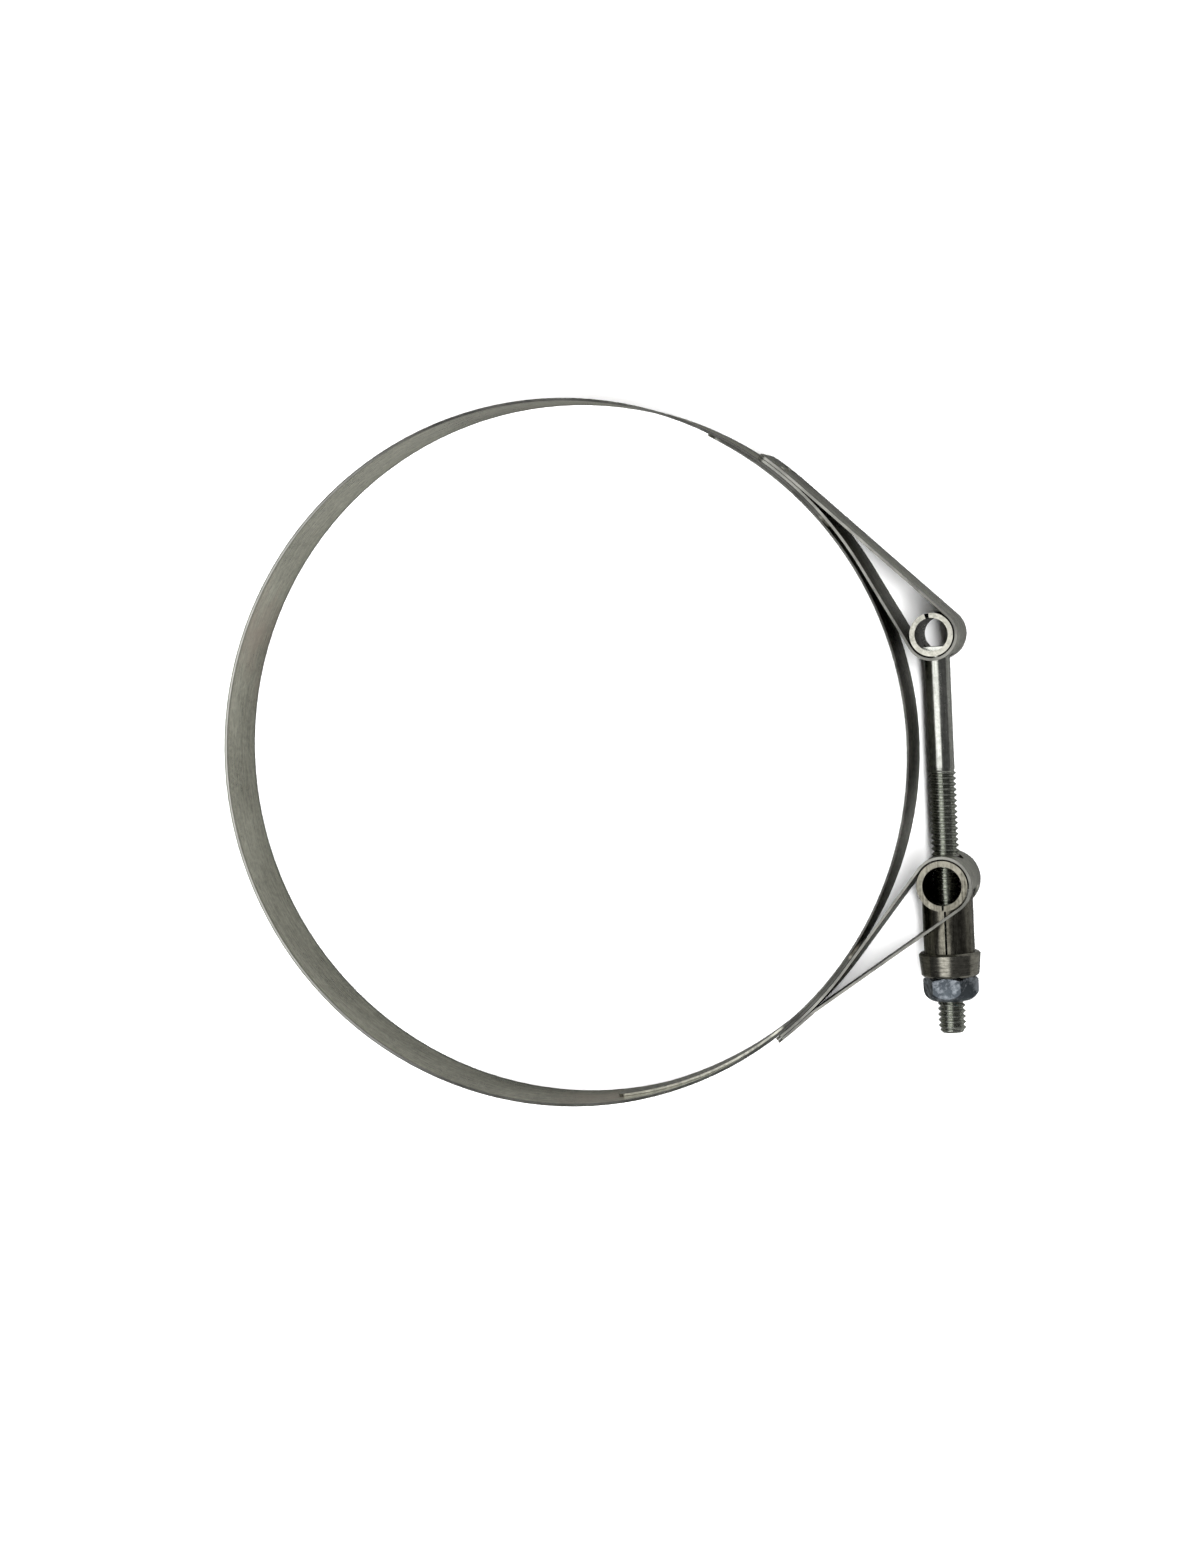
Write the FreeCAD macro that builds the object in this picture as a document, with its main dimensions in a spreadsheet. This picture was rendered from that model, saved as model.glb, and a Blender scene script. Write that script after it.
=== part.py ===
import FreeCAD, Part
import math
import os

import Sketcher

# T-bolt hose clamp, millimetres. The ring lies flat: its axis is +Z, its lower edge is z = 0.
# The bolt runs along Y on the +X side, its T head up at +Y and its lock nut down at -Y.

SIZES = {
    # ring
    "bore_radius": 81.2,
    "band_width": 19.0,
    "band_thickness": 0.6,
    "bridge_thickness": 0.5,
    "layer_gap": 0.08,
    "band_end_head_angle": 36.5,
    "band_end_nut_angle": 34.0,
    "band_corner": 4.0,
    # bridge: welded under the band at the head end, free at the nut end
    "bridge_weld_angle": 62.0,
    "bridge_free_angle": 84.0,
    "bridge_taper_angle": 32.0,
    "bridge_tip_width": 5.0,
    "bridge_tip_corner": 2.0,
    # folded straps
    "strap_thickness": 0.6,
    "fold_gap": 0.12,
    "loop_clearance": 0.4,
    "peel_radius": 14.0,
    "tail_length_head": 10.2,
    "peel_angle_head": 0.5,
    "tail_length_nut": 9.5,
    "peel_angle_nut": 8.4,
    "tail_corner": 2.0,
    "weld_radius": 2.0,
    "weld_depth": 0.15,
    "weld_spread": 9.0,
    # bolt line
    "bolt_standoff": 5.35,
    "head_rise": 23.9,
    "nut_drop": 32.9,
    "trunnion_inset": 0.25,
    # rolled head trunnion
    "head_tube_radius": 4.9,
    "head_tube_wall": 1.15,
    "head_seam_angle": 101.0,
    "head_seam_gap": 0.9,
    # T bolt
    "shank_radius": 2.9,
    "thread_radius": 3.175,
    "thread_start": 31.4,
    "bolt_length": 91.25,
    "bolt_end_chamfer": 0.9,
    "tee_rise": 0.9,
    "tee_length": 11.0,
    "seat_gap": 0.03,
    # rolled barrel trunnion with its two half sleeves
    "barrel_radius": 5.75,
    "barrel_wall": 1.3,
    "barrel_seam_gap": 0.5,
    "sleeve_radius": 5.8,
    "sleeve_length": 20.2,
    "sleeve_seam_gap": 0.5,
    "bolt_play": 0.85,
    "slot_clearance": 0.6,
    "slot_start": 1.2,
    # collar over the end of the sleeve
    "collar_radius": 7.05,
    "collar_foot_radius": 6.6,
    "collar_top": 15.85,
    "collar_floor": 1.15,
    "collar_chamfer": 0.45,
    "collar_fit": 0.02,
    # lock nut with its plastic ring
    "nut_across_flats": 11.11,
    "nut_height": 5.56,
    "nut_crown_height": 2.1,
    "nut_crown_radius": 4.4,
    "nut_crown_bulge": 0.3,
    "nut_chamfer": 0.75,
    "nut_seat_gap": 0.03,
    "nut_turn_angle": 4.0,
    "nut_edge_land": 0.2,
    "thread_fit": 0.06,
    "insert_radius": 3.95,
    "insert_height": 1.6,
    "insert_lip": 0.35,
    "insert_fit": 0.05,
}

# How far a cut runs out past the material
OVERCUT = 1.0
# Half the angle between two corners of a hexagon
HEX_HALF = math.radians(30)

doc = FreeCAD.newDocument("t_bolt_clamp")
sheet = doc.addObject("Spreadsheet::Sheet", "sizes")
for row, (alias, value) in enumerate(SIZES.items(), start=1):
    sheet.set("A%d" % row, alias)
    sheet.set("B%d" % row, str(value))
    sheet.setAlias("B%d" % row, alias)
doc.recompute()


def size(alias):
    """Value of one driving dimension, read from the sheet."""
    return float(sheet.get(alias))


# Radii of the ring's layers, from the bore outwards
bridge_outer = size("bore_radius") + size("bridge_thickness")
band_inner = bridge_outer + size("layer_gap")
band_outer = band_inner + size("band_thickness")
strap_inner = band_outer + size("layer_gap")
bolt_x = band_outer + size("bolt_standoff")
BAND_OUTER = "(sizes.bore_radius + sizes.bridge_thickness + sizes.layer_gap + sizes.band_thickness)"


def polar(radius, degrees):
    """Point on a circle round the origin."""
    angle = math.radians(degrees)
    return FreeCAD.Vector(radius * math.cos(angle), radius * math.sin(angle), 0)


def new_body(label, centre=(0, 0, 0)):
    """A body for one sub-part, with its own frame placed at centre."""
    body = doc.addObject("PartDesign::Body", label)
    body.Label = label
    body.Placement.Base = FreeCAD.Vector(*centre)
    return body


def new_sketch(body, name, role, offset=FreeCAD.Placement()):
    """A sketch on one of the body's own origin planes."""
    sketch = body.newObject("Sketcher::SketchObject", name)
    plane = [item for item in body.Origin.OriginFeatures if item.Role == role][0]
    sketch.AttachmentSupport = [(plane, "")]
    sketch.MapMode = "FlatFace"
    sketch.AttachmentOffset = offset
    return sketch


def add_arc(sketch, centre, radius, first, last):
    """Arc about centre, counter-clockwise from first to last, in degrees."""
    circle = Part.Circle(centre, FreeCAD.Vector(0, 0, 1), radius)
    return sketch.addGeometry(Part.ArcOfCircle(circle, math.radians(first), math.radians(last)), False)


def add_line(sketch, start, end):
    return sketch.addGeometry(Part.LineSegment(start, end), False)


def pin_radius(sketch, curve, expression):
    """Bind the radius of a sketch curve to the sheet."""
    index = sketch.addConstraint(Sketcher.Constraint("Radius", curve, sketch.Geometry[curve].Radius))
    sketch.setExpression("Constraints[%d]" % index, expression)


def circle_sketch(body, name, role, expression, radius, offset=FreeCAD.Placement()):
    """One circle on the sketch origin with its radius bound to the sheet."""
    sketch = new_sketch(body, name, role, offset)
    sketch.addGeometry(Part.Circle(FreeCAD.Vector(), FreeCAD.Vector(0, 0, 1), radius), False)
    sketch.addConstraint(Sketcher.Constraint("Coincident", 0, 3, -1, 1))
    pin_radius(sketch, 0, expression)
    return sketch


def box_sketch(body, name, role, left, right, low, high, offset=FreeCAD.Placement()):
    """A closed rectangle from left to right and low to high."""
    corners = [(left, low), (right, low), (right, high), (left, high)]
    return polygon_sketch(body, name, role, corners, offset)


def polygon_sketch(body, name, role, corners, offset=FreeCAD.Placement()):
    """A closed chain of straight lines through the corners."""
    sketch = new_sketch(body, name, role, offset)
    points = [FreeCAD.Vector(across, along, 0) for across, along in corners]
    for start, end in zip(points, points[1:] + points[:1]):
        add_line(sketch, start, end)
    return sketch


def sector_sketch(body, name, inner, outer, first, last):
    """Flat section of a curved strip between two radii and two angles, both radii bound."""
    inner_radius, inner_expression = inner
    outer_radius, outer_expression = outer
    sketch = new_sketch(body, name, "XY_Plane")
    inside = add_arc(sketch, FreeCAD.Vector(), inner_radius, first, last)
    outside = add_arc(sketch, FreeCAD.Vector(), outer_radius, first, last)
    start = add_line(sketch, polar(inner_radius, first), polar(outer_radius, first))
    end = add_line(sketch, polar(inner_radius, last), polar(outer_radius, last))
    for one, one_end, other, other_end in [
        (inside, 1, start, 1),
        (outside, 1, start, 2),
        (inside, 2, end, 1),
        (outside, 2, end, 2),
    ]:
        sketch.addConstraint(Sketcher.Constraint("Coincident", one, one_end, other, other_end))
    for curve in (inside, outside):
        sketch.addConstraint(Sketcher.Constraint("Coincident", curve, 3, -1, 1))
    pin_radius(sketch, inside, inner_expression)
    pin_radius(sketch, outside, outer_expression)
    return sketch


def pad(body, sketch, expression, symmetric=False, reverse=False):
    feature = body.newObject("PartDesign::Pad", sketch.Name + "_pad")
    feature.Profile = sketch
    feature.Midplane = symmetric
    feature.Reversed = reverse
    feature.setExpression("Length", expression)
    doc.recompute()
    return feature


def pocket(body, sketch, depth, symmetric=False, reverse=False):
    """Cut a sketch into the body, and check that something came off."""
    before = body.Shape.Volume
    feature = body.newObject("PartDesign::Pocket", sketch.Name + "_cut")
    feature.Profile = sketch
    feature.Midplane = symmetric
    feature.Reversed = reverse
    feature.Length = depth
    doc.recompute()
    if body.Shape.Volume > before - 1e-4:
        raise ValueError("nothing cut by " + sketch.Name)
    return feature


def revolve(body, sketch, axis="V_Axis"):
    feature = body.newObject("PartDesign::Revolution", sketch.Name + "_turn")
    feature.Profile = sketch
    feature.ReferenceAxis = (sketch, [axis])
    feature.Angle = 360.0
    doc.recompute()
    return feature


def groove(body, sketch, axis="V_Axis"):
    """Turn a sketch out of the body, and check that something came off."""
    before = body.Shape.Volume
    feature = body.newObject("PartDesign::Groove", sketch.Name + "_groove")
    feature.Profile = sketch
    feature.ReferenceAxis = (sketch, [axis])
    feature.Angle = 360.0
    doc.recompute()
    if body.Shape.Volume > before - 1e-4:
        raise ValueError("nothing turned off by " + sketch.Name)
    return feature


def round_edges(body, chosen, expression):
    """Round the body's edges for which chosen(edge) is true."""
    tip = body.Tip
    names = ["Edge%d" % (i + 1) for i, edge in enumerate(tip.Shape.Edges) if chosen(edge)]
    if not names:
        raise ValueError("no edge to round on " + body.Label)
    feature = body.newObject("PartDesign::Fillet", body.Label + "_round%d" % len(body.Group))
    feature.Base = (tip, names)
    feature.setExpression("Radius", expression)
    doc.recompute()
    return feature


def corner_edge(thickness, width):
    """Test for the short straight edges across a strip's thickness, at its two long edges."""

    def chosen(edge):
        middle = edge.CenterOfMass
        at_side = min(abs(middle.z), abs(middle.z - width)) < 1e-4
        straight = isinstance(edge.Curve, Part.Line)
        return at_side and straight and abs(edge.Length - thickness) < 1e-3

    return chosen


def ring_band():
    """The main strip, a ring that stops short under each folded strap."""
    body = new_body("band")
    inner = "(sizes.bore_radius + sizes.bridge_thickness + sizes.layer_gap)"
    first = size("band_end_head_angle")
    last = 360.0 - size("band_end_nut_angle")
    outer = (band_outer, BAND_OUTER)
    sketch = sector_sketch(body, "band_section", (band_inner, inner), outer, first, last)
    pad(body, sketch, "sizes.band_width")
    round_edges(body, corner_edge(size("band_thickness"), size("band_width")), "sizes.band_corner")
    return body


def ring_bridge():
    """The inner strip that spans the ring's gap, tapered to a blunt tip at its free end."""
    body = new_body("bridge")
    first = -size("bridge_free_angle")
    last = size("bridge_weld_angle")
    inner = (size("bore_radius"), "sizes.bore_radius")
    outer = (bridge_outer, "(sizes.bore_radius + sizes.bridge_thickness)")
    sketch = sector_sketch(body, "bridge_section", inner, outer, first, last)
    pad(body, sketch, "sizes.band_width")
    round_edges(body, weld_end_corner, "sizes.band_corner")

    # The taper is cut along the tip's own radius, by one wedge from each side
    width = size("band_width")
    half_tip = size("bridge_tip_width") / 2
    middle = first + size("bridge_taper_angle") / 2
    reach = bridge_outer * math.sin(math.radians(size("bridge_taper_angle") / 2))
    turn = FreeCAD.Rotation(FreeCAD.Vector(0, 0, 1), middle - 90)
    upright = FreeCAD.Rotation(FreeCAD.Vector(1, 0, 0), 90)
    frame = FreeCAD.Placement(FreeCAD.Vector(), turn.multiply(upright))
    slope = (width / 2 - half_tip) / (2 * reach)
    past = reach + OVERCUT
    low_wedge = [(-reach, 0), (-reach, -OVERCUT), (past, -OVERCUT)]
    low_wedge += [(past, width / 2 - half_tip + slope * OVERCUT)]
    high_wedge = [(across, width - along) for across, along in low_wedge]
    for name, corners in (("taper_low", low_wedge), ("taper_high", high_wedge)):
        cut = polygon_sketch(body, name, "XY_Plane", corners, frame)
        pocket(body, cut, 2 * bridge_outer)

    def tip_edge(edge):
        centre = edge.CenterOfMass
        near_tip = math.degrees(math.atan2(centre.y, centre.x)) < first + 1.5
        return near_tip and edge.Length < size("bridge_thickness") + 0.05

    round_edges(body, tip_edge, "sizes.bridge_tip_corner")
    return body


def weld_end_corner(edge):
    """Corner edges of the bridge at the end that is welded under the band."""
    test = corner_edge(size("bridge_thickness"), size("band_width"))
    return test(edge) and edge.CenterOfMass.y > 0


def strap_path(centre_y, ring_radius, tail_length, peel_angle, loop_radius):
    """Middle line of a folded strap, given for a loop on the +Y side.

    The outer leg lies on the ring, bends off it by the peel angle and runs straight to the far
    side of the trunnion. The inner leg comes back from the near side, straight on to the ring.
    """
    outer_radius = ring_radius + size("strap_thickness") + size("fold_gap")
    trunnion = FreeCAD.Vector(bolt_x, centre_y, 0)
    distance = trunnion.Length
    rise = math.degrees(math.atan2(centre_y, bolt_x))

    # Outer leg: a line that touches the peel bend and the far side of the loop
    peel = size("peel_radius")
    line_offset = (outer_radius + peel) * math.cos(math.radians(peel_angle)) - peel
    outer_normal = rise + math.degrees(math.acos((line_offset - loop_radius) / distance))
    leave = outer_normal - peel_angle

    # Inner leg: a line that touches the near side of the loop and the ring
    inner_angle = rise + math.degrees(math.acos((ring_radius + loop_radius) / distance))
    return {
        "trunnion": trunnion,
        "outer_radius": outer_radius,
        "peel_centre": polar(outer_radius + peel, leave),
        "peel": peel,
        "outer_normal": outer_normal,
        "inner_angle": inner_angle,
        "tail": leave + math.degrees(tail_length / outer_radius),
        "leave": leave,
        "ring_radius": ring_radius,
        "loop_radius": loop_radius,
    }


def strap_outline(path, shift):
    """One side of the strap: shift is how far it lies outside the middle line of the loop."""
    trunnion = path["trunnion"]
    loop = path["loop_radius"] + shift
    outer = path["outer_radius"] + shift
    peel = path["peel"] - shift
    inner = path["ring_radius"] - shift
    peel_end = path["peel_centre"] + polar(peel, path["outer_normal"] - 180)
    loop_start = trunnion + polar(loop, path["outer_normal"])
    loop_end = trunnion + polar(loop, path["inner_angle"] - 180)
    ring_end = polar(inner, path["inner_angle"])
    return [
        ("arc", FreeCAD.Vector(), outer, path["leave"], path["tail"]),
        ("arc", path["peel_centre"], peel, path["leave"] - 180, path["outer_normal"] - 180),
        ("line", peel_end, loop_start),
        ("arc", trunnion, loop, path["inner_angle"] - 180, path["outer_normal"]),
        ("line", loop_end, ring_end),
        ("arc", FreeCAD.Vector(), inner, path["inner_angle"], path["tail"]),
    ]


def folded_strap(label, centre_y, tail_length, peel_angle, trunnion_radius):
    """A strap folded round a trunnion, both ends lying on the outside of the band."""
    body = new_body(label)
    side = math.copysign(1, centre_y)
    half = size("strap_thickness") / 2
    loop_radius = trunnion_radius + size("loop_clearance") + half
    path = strap_path(abs(centre_y), strap_inner + half, tail_length, peel_angle, loop_radius)
    tail = path["tail"]
    sketch = new_sketch(body, label + "_section", "XY_Plane")
    for shift in (-half, half):
        for step in strap_outline(path, shift):
            if step[0] == "line":
                add_line(sketch, mirrored(step[1], side), mirrored(step[2], side))
            else:
                add_side_arc(sketch, step[1:], side)
    for radius in (path["outer_radius"], path["ring_radius"]):
        low = mirrored(polar(radius - half, tail), side)
        high = mirrored(polar(radius + half, tail), side)
        add_line(sketch, low, high)
    pad(body, sketch, "sizes.band_width")
    round_edges(body, corner_edge(size("strap_thickness"), size("band_width")), "sizes.tail_corner")
    weld_marks(body, side, (tail + path["leave"]) / 2, path["outer_radius"] + half)
    return body


def mirrored(point, side):
    return FreeCAD.Vector(point.x, point.y * side, 0)


def add_side_arc(sketch, arc, side):
    """Arc given for the +Y side, flipped below the X axis where side is -1."""
    centre, radius, first, last = arc
    first, last = min(first, last), max(first, last)
    if side < 0:
        first, last = -last, -first
    return add_arc(sketch, mirrored(centre, side), radius, first, last)


def weld_marks(body, side, angle, face_radius):
    """Two shallow round electrode marks where the strap's tail is spot welded."""
    height = size("band_width") / 2
    spread = size("weld_spread") / 2
    for count, up in enumerate((height - spread, height + spread)):
        turn = FreeCAD.Rotation(FreeCAD.Vector(0, 0, 1), side * angle + 90)
        upright = FreeCAD.Rotation(FreeCAD.Vector(1, 0, 0), 90)
        place = polar(face_radius - size("weld_depth"), side * angle) + FreeCAD.Vector(0, 0, up)
        frame = FreeCAD.Placement(place, turn.multiply(upright))
        name = body.Label + "_mark%d" % count
        mark = circle_sketch(body, name, "XY_Plane", "sizes.weld_radius", size("weld_radius"), frame)
        pocket(body, mark, 2 * size("weld_depth"), reverse=True)


def cross_hole(body, name, centre_y, radius, depth, downwards):
    """Round hole along the bolt line through one side of a strap's loop."""
    place = FreeCAD.Vector(bolt_x, size("band_width") / 2, -centre_y)
    hole = new_sketch(body, name, "XZ_Plane", FreeCAD.Placement(place, FreeCAD.Rotation()))
    hole.addGeometry(Part.Circle(FreeCAD.Vector(), FreeCAD.Vector(0, 0, 1), radius), False)
    pocket(body, hole, depth, reverse=downwards)


def head_loop():
    lap = size("tail_length_head")
    peel = size("peel_angle_head")
    body = folded_strap("head_loop", size("head_rise"), lap, peel, size("head_tube_radius"))
    loop_reach = size("head_tube_radius") + size("loop_clearance") + 2 * size("strap_thickness")
    hole_radius = size("shank_radius") + size("bolt_play")
    cross_hole(body, "shank_hole", size("head_rise"), hole_radius, loop_reach, True)
    return body


def nut_loop():
    lap = size("tail_length_nut")
    peel = size("peel_angle_nut")
    body = folded_strap("nut_loop", -size("nut_drop"), lap, peel, size("barrel_radius"))
    loop_reach = size("barrel_radius") + size("loop_clearance") + 2 * size("strap_thickness")
    hole_radius = size("thread_radius") + size("bolt_play")
    cross_hole(body, "thread_hole", -size("nut_drop"), hole_radius, loop_reach, False)
    sleeve_slot(body)
    return body


def sleeve_slot(body):
    """Slot from the far side of the loop into the outer leg, where the sleeve passes."""
    half_width = size("sleeve_radius") + size("slot_clearance")
    far_side = size("barrel_radius") + size("loop_clearance")
    far_side += size("strap_thickness") + size("fold_gap")
    place = FreeCAD.Vector(bolt_x, size("band_width") / 2, size("nut_drop") + size("slot_start"))
    sketch = new_sketch(body, "sleeve_slot", "XZ_Plane", FreeCAD.Placement(place, FreeCAD.Rotation()))
    add_arc(sketch, FreeCAD.Vector(), half_width, 90, 270)
    low_start = FreeCAD.Vector(0, -half_width, 0)
    low_end = FreeCAD.Vector(far_side, -half_width, 0)
    high_end = FreeCAD.Vector(far_side, half_width, 0)
    high_start = FreeCAD.Vector(0, half_width, 0)
    for start, end in ((low_start, low_end), (low_end, high_end), (high_end, high_start)):
        add_line(sketch, start, end)
    pocket(body, sketch, size("sleeve_length"), reverse=True)


def head_trunnion():
    """Short tube rolled from sheet, its seam on the side away from the bolt."""
    inset = size("trunnion_inset")
    body = new_body("head_trunnion", (bolt_x, size("head_rise"), inset))
    outer = size("head_tube_radius")
    inner = outer - size("head_tube_wall")
    middle = outer - size("head_tube_wall") / 2
    half_gap = math.degrees(size("head_seam_gap") / 2 / middle)
    seam = size("head_seam_angle")
    inner_expression = "(sizes.head_tube_radius - sizes.head_tube_wall)"
    sketch = sector_sketch(
        body,
        "head_tube_section",
        (inner, inner_expression),
        (outer, "sizes.head_tube_radius"),
        seam + half_gap,
        seam + 360 - half_gap,
    )
    pad(body, sketch, "sizes.band_width - 2 * sizes.trunnion_inset")
    place = FreeCAD.Placement(FreeCAD.Vector(0, size("band_width") / 2 - inset, 0), FreeCAD.Rotation())
    hole = new_sketch(body, "head_tube_hole", "XZ_Plane", place)
    hole_radius = size("shank_radius") + size("seat_gap")
    hole.addGeometry(Part.Circle(FreeCAD.Vector(), FreeCAD.Vector(0, 0, 1), hole_radius), False)
    pocket(body, hole, 2 * outer, reverse=True)
    return body


def t_bolt():
    """Shank and thread turned about the bolt line, with a low T bar that lies in the tube."""
    half_width = size("band_width") / 2
    body = new_body("t_bolt", (bolt_x, size("head_rise"), half_width))
    tube_bore = size("head_tube_radius") - size("head_tube_wall") - size("seat_gap")
    top = -(tube_bore - size("tee_rise"))
    shank = size("shank_radius")
    thread = size("thread_radius")
    start = -size("thread_start")
    end = -size("bolt_length")
    chamfer = size("bolt_end_chamfer")
    step = thread - shank
    profile = [
        (0, top),
        (shank, top),
        (shank, start + step),
        (thread, start),
        (thread, end + chamfer),
        (thread - chamfer, end),
        (0, end),
    ]
    revolve(body, polygon_sketch(body, "bolt_profile", "XY_Plane", profile))

    tee = new_sketch(body, "tee_section", "XY_Plane")
    half_chord = math.degrees(math.acos(-top / tube_bore))
    add_arc(tee, FreeCAD.Vector(), tube_bore, 270 - half_chord, 270 + half_chord)
    add_line(tee, polar(tube_bore, 270 - half_chord), polar(tube_bore, 270 + half_chord))
    pad(body, tee, "sizes.tee_length", symmetric=True)
    return body


def barrel_trunnion():
    """One rolled blank: a cross barrel whose two tails close round the bolt as half sleeves."""
    inset = size("trunnion_inset")
    half_width = size("band_width") / 2
    body = new_body("barrel_trunnion", (bolt_x, -size("nut_drop"), half_width))
    barrel = circle_sketch(body, "barrel_disc", "XY_Plane", "sizes.barrel_radius", size("barrel_radius"))
    pad(body, barrel, "sizes.band_width - 2 * sizes.trunnion_inset", symmetric=True)
    sleeve = circle_sketch(body, "sleeve_disc", "XZ_Plane", "sizes.sleeve_radius", size("sleeve_radius"))
    pad(body, sleeve, "sizes.sleeve_length")

    bore = size("barrel_radius") - size("barrel_wall")
    bore_expression = "sizes.barrel_radius - sizes.barrel_wall"
    pocket(
        body,
        circle_sketch(body, "barrel_bore", "XY_Plane", bore_expression, bore),
        size("band_width") + 2 * size("sleeve_radius"),
        symmetric=True,
    )
    passage = size("sleeve_radius") - size("barrel_wall")
    passage_expression = "sizes.sleeve_radius - sizes.barrel_wall"
    pocket(
        body,
        circle_sketch(body, "bolt_passage", "XZ_Plane", passage_expression, passage),
        2 * size("sleeve_length") + 2 * size("barrel_radius"),
        symmetric=True,
    )
    seam_top = -bore + size("barrel_wall")
    reach = 2 * (half_width + inset)
    for name, gap, length in (
        ("barrel_seam", size("barrel_seam_gap"), size("barrel_radius")),
        ("sleeve_seam", size("sleeve_seam_gap"), size("sleeve_length")),
    ):
        seam = box_sketch(body, name, "XY_Plane", -gap / 2, gap / 2, -length - OVERCUT, seam_top)
        pocket(body, seam, reach, symmetric=True)
    return body


def collar():
    """Cup pressed over the sleeve's end. The nut bears on its floor."""
    body = new_body("collar", (bolt_x, -size("nut_drop"), size("band_width") / 2))
    outside = size("collar_radius")
    inside = size("sleeve_radius") + size("collar_fit")
    hole = size("thread_radius") + size("bolt_play")
    top = -size("collar_top")
    ledge = -size("sleeve_length") - size("collar_fit")
    floor = ledge - size("collar_floor")
    foot = size("collar_foot_radius")
    chamfer = size("collar_chamfer")
    profile = [
        (inside, top),
        (outside - chamfer, top),
        (outside, top - chamfer),
        (foot, floor + chamfer),
        (foot - chamfer, floor),
        (hole, floor),
        (hole, ledge),
        (inside, ledge),
    ]
    revolve(body, polygon_sketch(body, "collar_profile", "XY_Plane", profile))
    return body


def nut_seat():
    """How far below the barrel's centre the nut bears."""
    return size("sleeve_length") + size("collar_fit") + size("collar_floor") + size("nut_seat_gap")


def lock_nut():
    """Thin hexagon nut with a round crown that holds the plastic ring."""
    body = new_body("lock_nut", (bolt_x, -size("nut_drop") - nut_seat(), size("band_width") / 2))
    flats = size("nut_across_flats") / 2
    corner = flats / math.cos(HEX_HALF)
    corners = [tuple(polar(corner, size("nut_turn_angle") + 60 * count))[:2] for count in range(6)]
    pad(body, polygon_sketch(body, "hexagon", "XZ_Plane", corners), "sizes.nut_height")

    # Chamfer on the bearing face, and the crown that rounds off the hexagon's other end
    height = size("nut_height")
    past = corner + OVERCUT
    chamfer = size("nut_chamfer")
    land = flats - size("nut_edge_land")
    bearing = [(land, 0), (corner, -chamfer), (past, -chamfer), (past, OVERCUT), (land, OVERCUT)]
    groove(body, polygon_sketch(body, "bearing_chamfer", "XY_Plane", bearing))
    crown = new_sketch(body, "crown_shape", "XY_Plane")
    rim = FreeCAD.Vector(size("nut_crown_radius"), -height, 0)
    shoulder = FreeCAD.Vector(corner, size("nut_crown_height") - height, 0)
    outwards = FreeCAD.Vector(1, -1, 0).normalize() * size("nut_crown_bulge")
    crown.addGeometry(Part.Arc(rim, (rim + shoulder) / 2 + outwards, shoulder), False)
    far_shoulder = FreeCAD.Vector(past, shoulder.y, 0)
    far_rim = FreeCAD.Vector(past, -height, 0)
    for start, end in ((shoulder, far_shoulder), (far_shoulder, far_rim), (far_rim, rim)):
        add_line(crown, start, end)
    groove(body, crown)

    # Bore, with the recess for the ring behind the crown's turned-in lip
    bore = size("thread_radius") + size("thread_fit")
    recess = size("insert_radius") + size("insert_fit")
    lip = size("insert_lip")
    recess_top = -height + lip + size("insert_height") + 2 * size("insert_fit")
    mouth = recess - lip
    bore_shape = [
        (0, OVERCUT),
        (bore, OVERCUT),
        (bore, recess_top),
        (recess, recess_top),
        (recess, lip - height),
        (mouth, -height),
        (mouth, -height - OVERCUT),
        (0, -height - OVERCUT),
    ]
    groove(body, polygon_sketch(body, "nut_bore", "XY_Plane", bore_shape))
    return body


def nylon_insert():
    """Plastic ring that grips the thread, held in the nut's crown."""
    low = size("insert_lip") + size("insert_fit") - nut_seat() - size("nut_height")
    body = new_body("nylon_insert", (bolt_x, -size("nut_drop") + low, size("band_width") / 2))
    inner = size("thread_radius") + size("insert_fit")
    outer = size("insert_radius")
    high = size("insert_height")
    revolve(body, box_sketch(body, "insert_profile", "XY_Plane", inner, outer, 0, high))
    return body


PIECES = [
    ring_band(),
    ring_bridge(),
    head_loop(),
    nut_loop(),
    head_trunnion(),
    t_bolt(),
    barrel_trunnion(),
    collar(),
    lock_nut(),
    nylon_insert(),
]

doc.recompute()
for item in doc.Objects:
    if "Invalid" in item.State or "Error" in item.State:
        raise ValueError("failed: " + item.Name)

os.makedirs("parts", exist_ok=True)
for piece in PIECES:
    shape = piece.Shape
    if shape.isNull() or not shape.isValid() or len(shape.Solids) != 1:
        raise ValueError("bad shape: %s with %d solids" % (piece.Label, len(shape.Solids)))
    shape.exportStep("parts/%s.step" % piece.Label)
    print(piece.Label, "volume", round(shape.Volume, 1))
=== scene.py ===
import math

import bmesh
import bpy
from mathutils import Euler, Matrix, Vector


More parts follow.
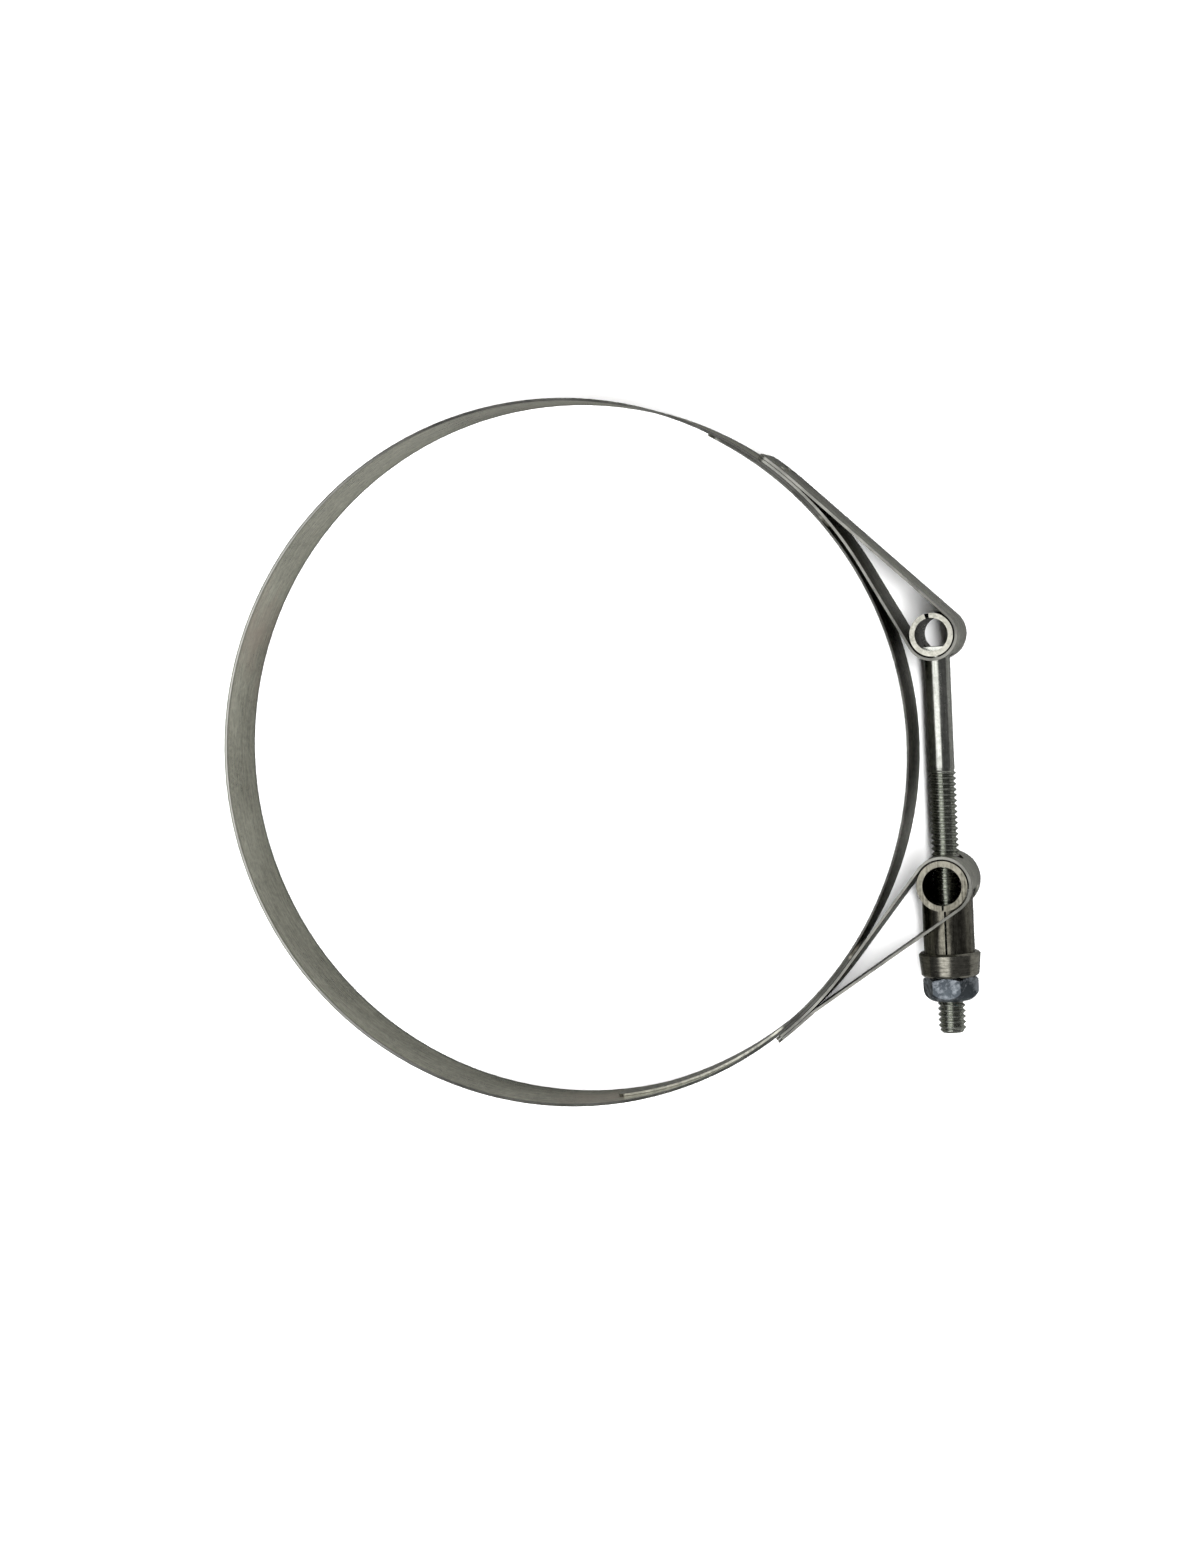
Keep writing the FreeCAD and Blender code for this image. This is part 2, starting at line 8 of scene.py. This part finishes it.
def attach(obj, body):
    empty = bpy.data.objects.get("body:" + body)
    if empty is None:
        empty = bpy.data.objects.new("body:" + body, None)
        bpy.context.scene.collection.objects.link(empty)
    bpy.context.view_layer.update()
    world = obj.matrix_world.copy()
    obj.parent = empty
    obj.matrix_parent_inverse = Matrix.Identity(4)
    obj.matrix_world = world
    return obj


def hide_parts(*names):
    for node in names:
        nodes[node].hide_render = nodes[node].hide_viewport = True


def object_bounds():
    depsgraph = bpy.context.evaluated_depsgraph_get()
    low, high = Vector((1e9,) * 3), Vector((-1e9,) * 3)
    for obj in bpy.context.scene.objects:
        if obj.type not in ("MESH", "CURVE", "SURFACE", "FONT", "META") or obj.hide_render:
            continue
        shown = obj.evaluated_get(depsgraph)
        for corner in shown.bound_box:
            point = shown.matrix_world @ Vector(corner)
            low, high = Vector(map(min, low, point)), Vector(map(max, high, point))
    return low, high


# Looks of a T-bolt hose clamp: brushed stainless strips and trunnions, a rolled thread, a zinc nut.

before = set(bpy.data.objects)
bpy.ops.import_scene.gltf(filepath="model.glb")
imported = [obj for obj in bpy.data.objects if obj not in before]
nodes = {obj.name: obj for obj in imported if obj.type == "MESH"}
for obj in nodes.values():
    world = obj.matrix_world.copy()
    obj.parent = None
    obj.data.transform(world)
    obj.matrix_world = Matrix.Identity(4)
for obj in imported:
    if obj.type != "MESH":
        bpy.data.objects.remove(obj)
cad_low, cad_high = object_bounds()

MM = 0.001

# Sizes that the part's source uses, in millimetres
BAND_R = 81.78
BAND_WIDTH = 19.0
BOLT_X = 87.73
HEAD_Y = 23.9
MID_Z = BAND_WIDTH / 2
HEAD_TUBE_R = 4.9
HEAD_TUBE_WALL = 1.15
SEAT_GAP = 0.03
TEE_RISE = 0.9
TEE_LENGTH = 11.0
SHANK_R = 2.9
THREAD_R = 3.175
THREAD_START = 31.4
BOLT_LENGTH = 91.25
BOLT_END_CHAMFER = 0.9
PITCH = 1.27

# The rolled thread: its depth, its flat crest as a share of the pitch, and how fine its mesh is
THREAD_DEPTH = 0.62
CREST_SHARE = 0.14
THREAD_SIDES = 48
STEPS_PER_PITCH = 10
TEE_STEPS = 14


def node_tree(name):
    """A new material with its node tree cleared, and its output node."""
    material = bpy.data.materials.new(name)
    material.use_nodes = True
    tree = material.node_tree
    tree.nodes.clear()
    return material, tree, tree.nodes.new("ShaderNodeOutputMaterial")


def add(tree, kind, **inputs):
    """A node with the given input values. An output socket given as a value is linked."""
    node = tree.nodes.new(kind)
    for key, value in inputs.items():
        if key.startswith("p_"):
            setattr(node, key[2:], value)
            continue
        socket = node.inputs[int(key[1:])] if key[1:].isdigit() else node.inputs[key.replace("_", " ")]
        if isinstance(value, bpy.types.NodeSocket):
            tree.links.new(value, socket)
        else:
            socket.default_value = value
    return node


def stretched(tree, position, scale):
    """Position scaled on each axis, so that noise runs out into streaks."""
    node = add(tree, "ShaderNodeMapping", i0=position)
    node.inputs["Scale"].default_value = scale
    return node.outputs[0]


def ramp(tree, factor, stops):
    """Colour ramp through (place, colour) stops."""
    node = add(tree, "ShaderNodeValToRGB", i0=factor)
    line = node.color_ramp
    while len(line.elements) < len(stops):
        line.elements.new(0.5)
    for element, (place, colour) in zip(line.elements, stops):
        element.position = place
        element.color = (*colour, 1)
    return node.outputs[0]


def maths(tree, operation, first, second=0.0, clamp=False):
    node = add(tree, "ShaderNodeMath", p_operation=operation, p_use_clamp=clamp, i0=first, i1=second)
    return node.outputs[0]


def span(tree, value, low, high, to_low, to_high):
    """Value mapped from one range to another, held at the ends."""
    node = add(tree, "ShaderNodeMapRange", i0=value, i1=low, i2=high, i3=to_low, i4=to_high)
    return node.outputs[0]


def mix(tree, factor, first, second, blend="MIX"):
    node = tree.nodes.new("ShaderNodeMix")
    node.data_type = "RGBA"
    node.blend_type = blend
    for socket, value in ((node.inputs[0], factor), (node.inputs[6], first), (node.inputs[7], second)):
        if isinstance(value, bpy.types.NodeSocket):
            tree.links.new(value, socket)
        elif isinstance(value, tuple):
            socket.default_value = (*value, 1)
        else:
            socket.default_value = value
    return node.outputs[2]


def noise(tree, vector, scale, detail=4.0, rough=0.6):
    node = add(tree, "ShaderNodeTexNoise", Vector=vector, Scale=scale, Detail=detail, Roughness=rough)
    return node.outputs[0]


def edge_band(tree, position, width_mm):
    """1 on the two long edges of a strip, falling to 0 within the width."""
    z = add(tree, "ShaderNodeSeparateXYZ", i0=position).outputs[2]
    low = span(tree, z, 0.0, width_mm * MM, 1.0, 0.0)
    high = span(tree, z, (BAND_WIDTH - width_mm) * MM, BAND_WIDTH * MM, 0.0, 1.0)
    return maths(tree, "MAXIMUM", low, high)


def scaled(colour, factor):
    return tuple(factor * c for c in colour)


def cut_edges(tree, where, colour, clouds, dark, edge, painted_highlight):
    """Colour with the strip's cut edges laid over it, in patches of a darker and a lighter tone.

    With a painted highlight given, the cut edge is bright round the far side of the ring and dark along its
    outer corner, and the walls are darker within 1.5 mm of both long edges, all round.
    """
    cut = mix(tree, span(tree, clouds, 0.42, 0.58, 0.0, 1.0), scaled(edge, 0.45), edge)
    if painted_highlight:
        # Walls darker within 1.5 mm of both long edges, all round the ring
        rim = maths(tree, "MULTIPLY", edge_band(tree, where, 1.5), 0.75)
        colour = mix(tree, rim, colour, scaled(dark, 0.5))
        apart = add(tree, "ShaderNodeSeparateXYZ", i0=where)
        flat = add(tree, "ShaderNodeCombineXYZ", i0=apart.outputs[0], i1=apart.outputs[1]).outputs[0]
        radius = add(tree, "ShaderNodeVectorMath", p_operation="LENGTH", i0=flat).outputs["Value"]
        # Painted highlight: a bright colour on the cut edge round the far side of the ring, with a dark line
        # along its outer corner
        corner = span(tree, radius, (BAND_R + 0.18) * MM, (BAND_R + 0.48) * MM, 0.0, 1.0)
        glint = mix(tree, corner, painted_highlight, scaled(dark, 0.2))
        cut = mix(tree, span(tree, apart.outputs[0], -0.075, -0.030, 1.0, 0.0), cut, glint)
    return mix(tree, edge_band(tree, where, 0.12), colour, cut)


def metal(name, dark, light, rough, grain, mottle=0.5, edge=None, bump=0.12, stain=None, thread=None,
          painted_highlight=None, contrast=1.0):
    """Steel: drawn streaks, a cloudy and speckled tone, scuffs, its own tone on the cut edges, and a painted
    highlight on them if one is given.
    """
    material, tree, out = node_tree(name)
    where = add(tree, "ShaderNodeTexCoord").outputs["Object"]
    streaks = noise(tree, stretched(tree, where, grain), 1.0, 5.0, 0.65)
    fine = noise(tree, stretched(tree, where, scaled(grain, 3.1)), 1.0, 3.0, 0.6)
    clouds = noise(tree, where, 55.0, 6.0, 0.66)
    speckle = noise(tree, where, 820.0, 3.0, 0.7)

    # Each share is centred on 0, so that the sum keeps its middle at the middle tone
    tone = maths(tree, "MULTIPLY", maths(tree, "SUBTRACT", streaks, 0.5), 1.5)
    for part, share in ((clouds, 2.4 * mottle), (speckle, 1.1), (fine, 0.8)):
        tone = maths(tree, "ADD", tone, maths(tree, "MULTIPLY", maths(tree, "SUBTRACT", part, 0.5), share))
    tone = maths(tree, "ADD", maths(tree, "MULTIPLY", tone, contrast), 0.5, clamp=True)
    colour = mix(tree, tone, dark, light)
    if stain:
        patch = noise(tree, where, 21.0, 4.0, 0.6)
        colour = mix(tree, span(tree, patch, 0.52, 0.68, 0.0, 0.65), colour, stain)
    if edge:
        colour = cut_edges(tree, where, colour, clouds, dark, edge, painted_highlight)
    if thread:
        along = add(tree, "ShaderNodeSeparateXYZ", i0=where).outputs[1]
        start = (HEAD_Y - THREAD_START) * MM
        colour = mix(tree, span(tree, along, start - 0.0003, start + 0.0012, 1.0, 0.0), colour,
                     mix(tree, 1.0, colour, thread, "MULTIPLY"))

    wear = maths(tree, "ADD", maths(tree, "MULTIPLY", fine, 0.6), maths(tree, "MULTIPLY", clouds, 0.4))
    roughness = span(tree, wear, 0.3, 0.7, rough - 0.10, rough + 0.12)
    height = maths(tree, "ADD", maths(tree, "MULTIPLY", streaks, 0.7), maths(tree, "MULTIPLY", speckle, 0.3))
    relief = add(tree, "ShaderNodeBump", Strength=bump, Distance=0.00008, Height=height)
    shader = add(tree, "ShaderNodeBsdfPrincipled", Base_Color=colour, Roughness=roughness,
                 Normal=relief.outputs[0])
    shader.inputs["Metallic"].default_value = 1.0
    tree.links.new(shader.outputs[0], out.inputs[0])
    return material


# Streaks run along the strips, so noise is stretched in the ring's plane and fine across it
STRIP_GRAIN = (90, 90, 2200)
# The band's cut edges carry a painted highlight round the far side of the ring
strip = metal("strip_steel", (0.52, 0.52, 0.43), (1.0, 0.995, 0.86), 0.32, STRIP_GRAIN,
              edge=(0.07, 0.07, 0.065), stain=(0.80, 0.68, 0.58), painted_highlight=(0.33, 0.33, 0.31), contrast=1.25)
bridge_steel = metal("bridge_steel", (0.24, 0.243, 0.215), (0.66, 0.66, 0.585), 0.33, STRIP_GRAIN,
                     mottle=0.8, edge=(0.09, 0.09, 0.083), contrast=1.25)
strap = metal("strap_steel", (0.27, 0.273, 0.24), (0.72, 0.72, 0.64), 0.32, STRIP_GRAIN,
              edge=(0.22, 0.22, 0.202), contrast=1.25)
tube = metal("tube_steel", (0.18, 0.178, 0.156), (0.44, 0.432, 0.387), 0.24, (900, 900, 110),
             mottle=0.6, edge=(0.48, 0.48, 0.45))
sleeve_steel = metal("sleeve_steel", (0.055, 0.052, 0.041), (0.22, 0.21, 0.176), 0.22, (1500, 90, 1500),
                     mottle=0.7, edge=(0.33, 0.33, 0.316), contrast=1.4)
collar_steel = metal("collar_steel", (0.075, 0.072, 0.060), (0.42, 0.405, 0.352), 0.18, (200, 1900, 200),
                     mottle=0.6)
bolt_steel = metal("bolt_steel", (0.25, 0.256, 0.237), (0.58, 0.587, 0.55), 0.20, (1600, 60, 1600),
                   mottle=0.45, thread=(0.95, 0.97, 0.94))
zinc = metal("zinc_plate", (0.06, 0.07, 0.084), (0.50, 0.54, 0.59), 0.50, (420, 420, 420),
             mottle=1.3, stain=(0.28, 0.33, 0.365), contrast=2.0)


def plastic(name, dark, light):
    """Natural nylon, slightly cloudy."""
    material, tree, out = node_tree(name)
    where = add(tree, "ShaderNodeTexCoord").outputs["Object"]
    clouds = noise(tree, where, 700.0, 4.0, 0.6)
    colour = ramp(tree, clouds, [(0.3, dark), (0.7, light)])
    roughness = span(tree, clouds, 0.3, 0.7, 0.42, 0.58)
    relief = add(tree, "ShaderNodeBump", Strength=0.1, Distance=0.00005, Height=clouds)
    shader = add(tree, "ShaderNodeBsdfPrincipled", Base_Color=colour, Roughness=roughness,
                 Normal=relief.outputs[0])
    shader.inputs["Subsurface Weight"].default_value = 0.1
    tree.links.new(shader.outputs[0], out.inputs[0])
    return material


nylon = plastic("nylon", (0.62, 0.61, 0.56), (0.80, 0.79, 0.74))

FINISH = {
    "band": strip,
    "bridge": bridge_steel,
    "head_loop": strap,
    "nut_loop": strap,
    "head_trunnion": tube,
    "barrel_trunnion": sleeve_steel,
    "collar": collar_steel,
    "t_bolt": bolt_steel,
    "lock_nut": zinc,
    "nylon_insert": nylon,
}
for name, material in FINISH.items():
    mesh = nodes[name].data
    mesh.materials.clear()
    mesh.materials.append(material)


def new_piece(name, mesh, body, material, slot, *replaced):
    mesh.materials.append(material)
    piece = bpy.data.objects.new(name, mesh)
    bpy.context.scene.collection.objects.link(piece)
    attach(piece, body)
    if replaced:
        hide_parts(*replaced)
    return piece


def thread_depth(along, turn):
    """Depth of the rolled thread below its crest, 0 to 1, at a place along and round the bolt."""
    phase = (along / PITCH + turn / math.tau) % 1.0
    slope = abs(phase - 0.5) * 2
    return min(1.0, max(0.0, (1 - slope - CREST_SHARE / 2) / (1 - CREST_SHARE)))


def bolt_mesh():
    """Shank, T bar and a true helical thread, with a chamfered end."""
    mesh = bpy.data.meshes.new("bolt")
    bm = bmesh.new()
    tee_radius = HEAD_TUBE_R - HEAD_TUBE_WALL - SEAT_GAP
    top = tee_radius - TEE_RISE

    rows = []
    stations = [top, 4.4, 12.0, 20.0, 28.0, THREAD_START - 1.3, THREAD_START - 0.9]
    step = PITCH / STEPS_PER_PITCH
    count = int((BOLT_LENGTH - THREAD_START + 0.6) / step)
    stations += [THREAD_START - 0.6 + step * k for k in range(count + 1)]
    stations.append(BOLT_LENGTH)
    for along in stations:
        row = []
        for k in range(THREAD_SIDES):
            turn = math.tau * k / THREAD_SIDES
            radius = SHANK_R
            if along > THREAD_START - 0.9:
                rise = min(1.0, (along - THREAD_START + 0.9) / 1.2)
                crest = SHANK_R + (THREAD_R - SHANK_R) * rise
                radius = crest - THREAD_DEPTH * rise * thread_depth(along, turn)
            from_end = BOLT_LENGTH - along
            if from_end < BOLT_END_CHAMFER:
                radius = min(radius, THREAD_R - BOLT_END_CHAMFER + from_end)
            row.append(bm.verts.new((radius * math.cos(turn), -along, radius * math.sin(turn))))
        rows.append(row)
    for low, high in zip(rows, rows[1:]):
        for k in range(THREAD_SIDES):
            n = (k + 1) % THREAD_SIDES
            face = bm.faces.new((low[k], high[k], high[n], low[n]))
            face.smooth = True
    bm.faces.new(rows[0])
    bm.faces.new(list(reversed(rows[-1])))

    # T bar: the part of a round bar that lies against the tube's wall
    half_chord = math.acos(top / tee_radius)
    section = [
        (tee_radius * math.sin(a), -tee_radius * math.cos(a))
        for a in (half_chord * (2 * k / TEE_STEPS - 1) for k in range(TEE_STEPS + 1))
    ]
    low_ring = [bm.verts.new((x, y, -TEE_LENGTH / 2)) for x, y in section]
    high_ring = [bm.verts.new((x, y, TEE_LENGTH / 2)) for x, y in section]
    size = len(section)
    for k in range(size):
        n = (k + 1) % size
        bm.faces.new((low_ring[k], low_ring[n], high_ring[n], high_ring[k]))
    bm.faces.new(list(reversed(low_ring)))
    bm.faces.new(high_ring)

    place = Matrix.Translation((BOLT_X, HEAD_Y, MID_Z))
    bmesh.ops.transform(bm, matrix=Matrix.Scale(MM, 4) @ place, verts=bm.verts)
    bmesh.ops.recalc_face_normals(bm, faces=bm.faces)
    bm.to_mesh(mesh)
    bm.free()
    return mesh


new_piece("threaded_bolt", bolt_mesh(), "bolt", bolt_steel, "bolt_steel", "t_bolt")

# Floor, white to the camera and dark grey to the metal that mirrors it. Far out it needs no lamp.
floor_material, tree, out = node_tree("floor")
ray = add(tree, "ShaderNodeLightPath")
place = add(tree, "ShaderNodeTexCoord").outputs["Object"]
grain = noise(tree, place, 40.0)
tint = mix(tree, span(tree, grain, 0.3, 0.7, 0.0, 1.0), (0.89, 0.89, 0.89), (0.91, 0.91, 0.91))
across = add(tree, "ShaderNodeSeparateXYZ", i0=place).outputs[0]
# Painted reflection: the floor tone that the metal mirrors is lighter towards the left and right than in the
# middle
mirrored = ramp(tree, span(tree, across, -0.08, 0.09, 0.0, 1.0),
                [(0.0, (0.190, 0.190, 0.184)), (0.4, (0.105, 0.105, 0.102)),
                 (0.8, (0.105, 0.105, 0.102)), (1.0, (0.163, 0.163, 0.158))])
tint = mix(tree, ray.outputs["Is Glossy Ray"], tint, mirrored)
pale = add(tree, "ShaderNodeBsdfDiffuse", Color=tint, Roughness=0.5)
far_tint = mix(tree, ray.outputs["Is Glossy Ray"], (1.0, 1.0, 1.0), (0.30, 0.30, 0.29))
glow = add(tree, "ShaderNodeEmission", Color=far_tint)
reach = add(tree, "ShaderNodeVectorMath", p_operation="LENGTH", i0=place).outputs["Value"]
blend = add(tree, "ShaderNodeMixShader", i0=span(tree, reach, 0.22, 0.50, 0.0, 1.0))
tree.links.new(pale.outputs[0], blend.inputs[1])
tree.links.new(glow.outputs[0], blend.inputs[2])
tree.links.new(blend.outputs[0], out.inputs[0])
bpy.ops.mesh.primitive_plane_add(size=6.0, location=(0, 0, cad_low.z - 0.0002))
floor = bpy.context.object
floor.name = "floor"
floor.data.materials.append(floor_material)

# Surroundings: white behind, and a soft grey room in the metal's reflections
world = bpy.data.worlds.new("studio")
bpy.context.scene.world = world
world.use_nodes = True
tree = world.node_tree
tree.nodes.clear()
out = tree.nodes.new("ShaderNodeOutputWorld")
ray = add(tree, "ShaderNodeLightPath")
direction = add(tree, "ShaderNodeTexCoord").outputs["Generated"]
aside = add(tree, "ShaderNodeSeparateXYZ", i0=direction)
up = aside.outputs[2]
room = ramp(tree, span(tree, up, -0.2, 1.0, 0.0, 1.0),
            [(0.0, (0.05, 0.05, 0.05)), (0.45, (0.07, 0.07, 0.07)), (1.0, (0.16, 0.16, 0.16))])
along = maths(tree, "ABSOLUTE", aside.outputs[1])
ends = maths(tree, "MULTIPLY", span(tree, along, 0.70, 0.88, 0.0, 0.5), span(tree, up, -0.05, 0.12, 0.0, 1.0))
right = span(tree, aside.outputs[0], 0.70, 0.90, 0.0, 0.06)
boxes = maths(tree, "ADD", ends, right)
room = mix(tree, 1.0, room, mix(tree, boxes, (0.0, 0.0, 0.0), (1.0, 1.0, 0.99)), "ADD")
towards = add(tree, "ShaderNodeVectorMath", p_operation="DOT_PRODUCT", i0=direction)
towards.inputs[1].default_value = Vector((-0.27, 0.0, 1.0)).normalized()
panel = ramp(tree, span(tree, towards.outputs["Value"], 0.875, 1.0, 0.0, 1.0),
             [(0.0, (0.0, 0.0, 0.0)), (0.45, (1.9, 1.9, 1.88)), (1.0, (2.4, 2.4, 2.37))])
room = mix(tree, 1.0, room, panel, "ADD")
backdrop = mix(tree, ray.outputs["Is Glossy Ray"], (0.03, 0.03, 0.03), room)
backdrop = mix(tree, ray.outputs["Is Camera Ray"], backdrop, (1.0, 1.0, 1.0))
shine = add(tree, "ShaderNodeBackground", Color=backdrop, Strength=1.0)
tree.links.new(shine.outputs[0], out.inputs[0])


def area_light(name, place, target, size_mm, watts):
    data = bpy.data.lights.new(name, "AREA")
    data.shape = "RECTANGLE"
    data.size, data.size_y = (s * MM for s in size_mm)
    data.energy = watts
    lamp = bpy.data.objects.new(name, data)
    lamp.location = Vector(place) * MM
    aim = (Vector(target) - Vector(place)).to_track_quat("-Z", "Y")
    lamp.rotation_euler = aim.to_euler()
    bpy.context.scene.collection.objects.link(lamp)
    return lamp


# Two lamps light the floor, one of them nearly from above so that it reaches into the bores.
# They don't show in the metal, which mirrors the room and its ceiling instead.
LAMP_TARGET = (40, 0, 0)
LAMP_SIZE = (600, 110)
LAMP_WATTS = 14
for name, place in (("side_lamp", (-400, -230, 780)), ("top_lamp", (300, 24, 870))):
    lamp = area_light(name, place, LAMP_TARGET, LAMP_SIZE, LAMP_WATTS)
    lamp.visible_glossy = False

# Camera, fitted to the ring's two edges, the trunnions and the bolt in the photograph
FOCAL_PX = 2848.39
IMAGE_LONG = 1553
camera_data = bpy.data.cameras.new("camera")
camera_data.sensor_width = 36.0
camera_data.lens = FOCAL_PX / IMAGE_LONG * camera_data.sensor_width
camera_data.clip_start = 0.01
camera_data.clip_end = 50
camera = bpy.data.objects.new("camera", camera_data)
bpy.context.scene.collection.objects.link(camera)
camera.location = Vector((168.258, 31.231, 657.627)) * MM
turned = Euler((0.05717, -0.24287, 0.03541), "XYZ").to_matrix()
camera.rotation_euler = turned.transposed().to_euler()
bpy.context.scene.camera = camera
bpy.context.scene.view_settings.view_transform = "Standard"
